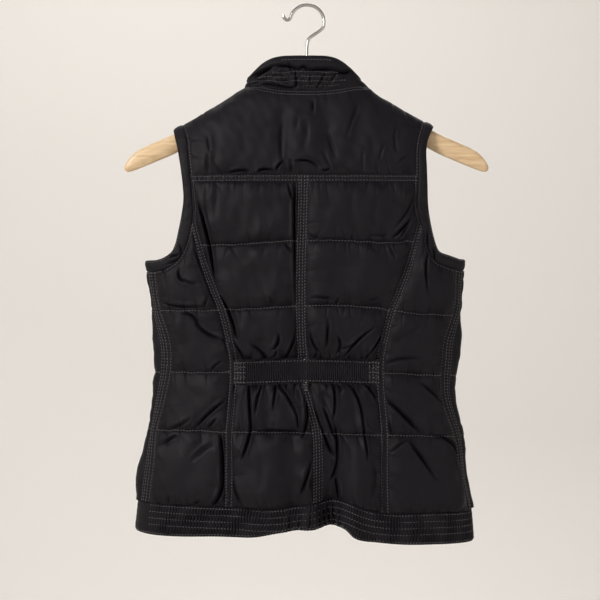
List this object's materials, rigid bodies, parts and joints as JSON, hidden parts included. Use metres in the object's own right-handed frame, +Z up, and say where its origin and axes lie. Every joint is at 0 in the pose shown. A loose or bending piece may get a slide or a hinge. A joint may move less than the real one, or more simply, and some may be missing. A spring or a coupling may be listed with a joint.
{
  "type": "puffer vest on a hanger",
  "caption": "Women's sleeveless quilted puffer vest, zipped, with stand collar and gathered hem, on a wooden hanger with a wire hook.",
  "frame": {"origin": "the point inside the hook's arch where the hanger hangs on a rod or nail", "axes": "+Z up; -Y the vest's back, +Y its zipped front; +X the wearer's right"},
  "size_m": [0.436, 0.1065, 0.6389],
  "materials": {
    "cloth": "black quilted nylon, soft low sheen, grey topstitching",
    "zip_tape": "black woven tape, matte",
    "zip_teeth": "black moulded teeth, satin",
    "zip_metal": "dark enamelled zinc, satin",
    "wood": "pale maple, clear satin lacquer",
    "hook_steel": "bright drawn steel wire"
  },
  "bodies": {
    "vest": {"back_yoke": "cloth", "back_upper_left": "cloth", "back_upper_right": "cloth", "waistband": "cloth", "back_lower_left": "cloth", "back_lower_right": "cloth", "back_side_left": "cloth", "back_side_right": "cloth", "front_left": "cloth", "front_right": "cloth", "front_side_left": "cloth", "front_side_right": "cloth", "armhole_back_left": "cloth", "armhole_back_right": "cloth", "armhole_front_left": "cloth", "armhole_front_right": "cloth", "hem_back_left": "cloth", "hem_back_right": "cloth", "hem_front_left": "cloth", "hem_front_right": "cloth", "collar": "cloth", "zip_tape_left": "zip_tape", "zip_tape_right": "zip_tape", "zip_chain": "zip_teeth", "zip_slider": "zip_metal", "hanger_body": "wood", "hanger_hook": "hook_steel"},
    "pull_tab": {"zip_pull_tab": "zip_metal"}
  },
  "joints": [
    {"name": "pull_tab_hinge", "type": "hinge", "parent": "vest", "child": "pull_tab", "pos_m": [0, 0.0327, -0.13093], "axis": [1, 0, 0], "range_deg": [0, 150]}
  ]
}
